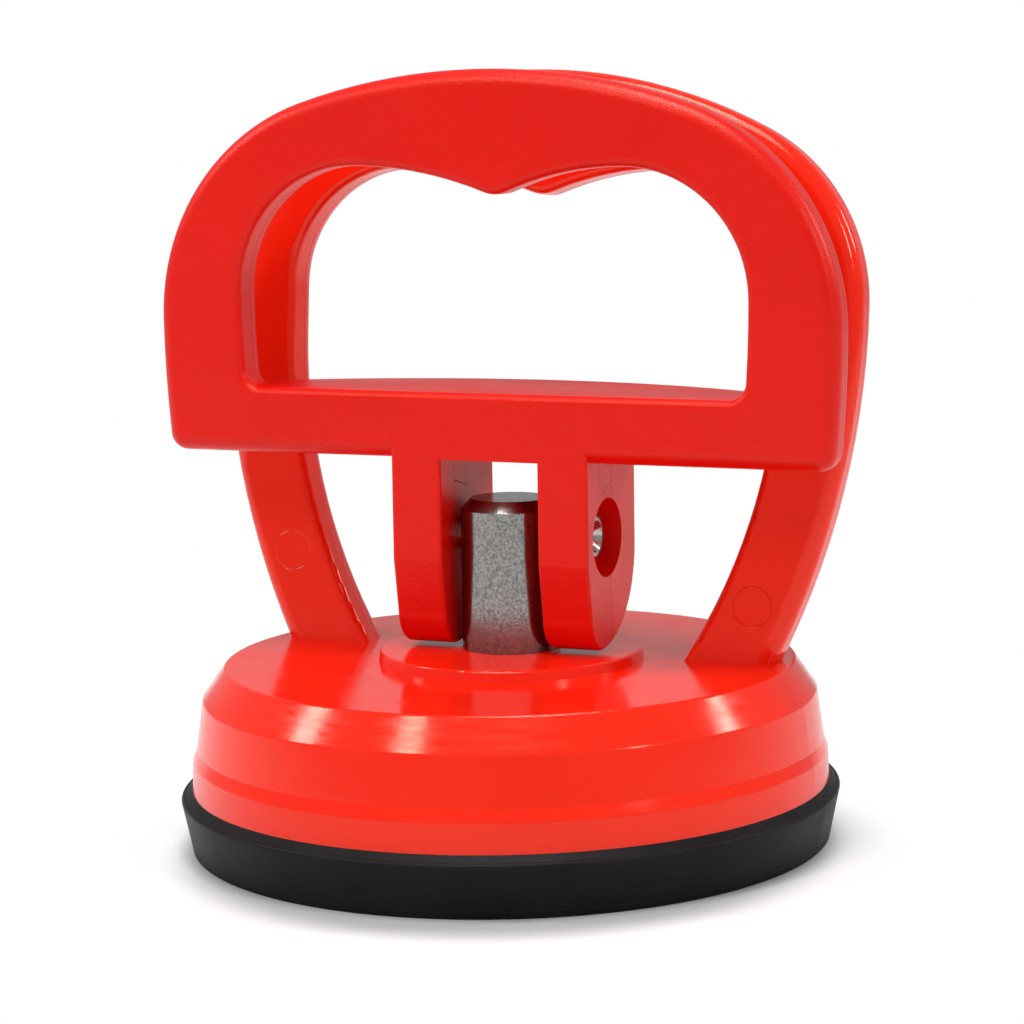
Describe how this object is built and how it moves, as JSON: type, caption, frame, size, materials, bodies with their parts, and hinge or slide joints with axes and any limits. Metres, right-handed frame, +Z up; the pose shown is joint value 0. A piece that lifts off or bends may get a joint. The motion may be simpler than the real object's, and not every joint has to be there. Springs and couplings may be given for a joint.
{
  "type": "hand suction lifter",
  "caption": "Hand suction lifter for tiles and glass: a rubber cup under a moulded dome with a fixed grip, and a hinged cam lever that draws the cup up.",
  "frame": {"origin": "centre of the circle where the rubber cup rests on the surface it grips", "axes": "+Z up out of the surface, along the lift stud; +X along the rivet that the lever turns on; -Y to the side that the lever folds down to"},
  "size_m": [0.1284, 0.118, 0.137],
  "materials": {
    "housing_plastic": "glossy moulded ABS, red",
    "lever_plastic": "moulded ABS with a fine satin grain, red",
    "stud_steel": "turned, zinc plated",
    "rivet_steel": "nickel plated",
    "plate_steel": "zinc plated",
    "cup_rubber": "matt black rubber"
  },
  "bodies": {
    "housing": {"dome_and_grip": "housing_plastic", "rubber_cup": "cup_rubber"},
    "stud": {"lift_stud": "stud_steel", "backing_plate": "plate_steel", "pivot_rivet": "rivet_steel"},
    "lever": {"cam_lever": "lever_plastic"}
  },
  "joints": [
    {"name": "cup_draw", "type": "slide", "parent": "housing", "child": "stud", "axis": [0, 0, 1], "range_m": [-0.002, 0], "deforming": ["rubber_cup"]},
    {"name": "lever_pivot", "type": "hinge", "parent": "stud", "child": "lever", "pos_m": [0, 0, 0.0546], "axis": [1, 0, 0], "range_deg": [0, 90]}
  ],
  "couplings": [
    {"joint": "cup_draw", "follows": "lever_pivot", "m_per_rad": -0.00127}
  ]
}
